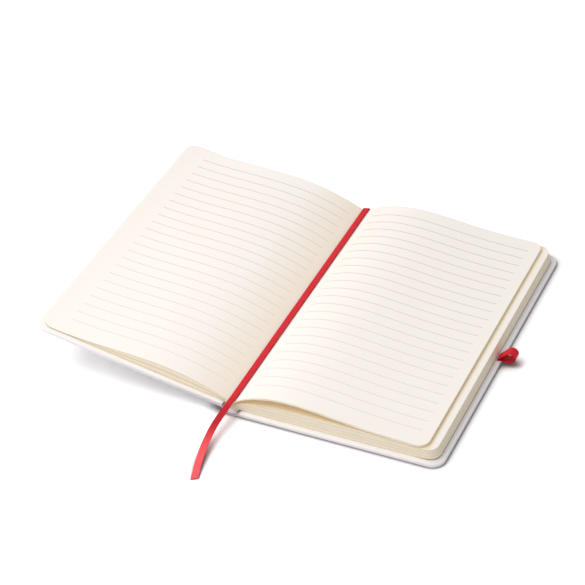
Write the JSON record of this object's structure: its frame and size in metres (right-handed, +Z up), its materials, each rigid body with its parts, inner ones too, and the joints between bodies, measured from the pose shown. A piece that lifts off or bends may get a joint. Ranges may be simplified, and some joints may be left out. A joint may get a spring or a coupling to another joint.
{
  "type": "notebook",
  "caption": "Open hard-cover notebook with ruled pages, a ribbon page marker and a pen loop on the back cover's fore-edge.",
  "frame": {"origin": "centre of the back cover's outer face, the face that lies on the table", "axes": "+X from the spine to the back cover's fore-edge, +Y from the tail to the head, +Z up"},
  "size_m": [0.2777, 0.2674, 0.0334],
  "materials": {
    "pages": "uncoated ivory paper with fine grey ruled lines",
    "endpaper": "uncoated ivory paper",
    "board": "grey board",
    "cover": "white grained covering",
    "gauze": "open white gauze",
    "ribbon": "red satin ribbon"
  },
  "bodies": {
    "block": {"page_block": "pages", "spine_gauze": "gauze", "spine_card": "board", "spine_wrap": "cover", "ribbon": "ribbon"},
    "back_cover": {"back_board": "board", "back_wrap": "cover", "back_endpaper": "endpaper", "pen_loop": "ribbon"},
    "front_cover": {"front_board": "board", "front_wrap": "cover", "front_endpaper": "endpaper"}
  },
  "joints": [
    {"name": "back_hinge", "type": "hinge", "parent": "block", "child": "back_cover", "pos_m": [-0.06535, 0, 0.0002], "axis": [0, 1, 0], "range_deg": [0, 90]},
    {"name": "front_hinge", "type": "hinge", "parent": "block", "child": "front_cover", "pos_m": [-0.07528, 0, 0.00452], "axis": [0, -1, 0], "range_deg": [0, 101]}
  ]
}
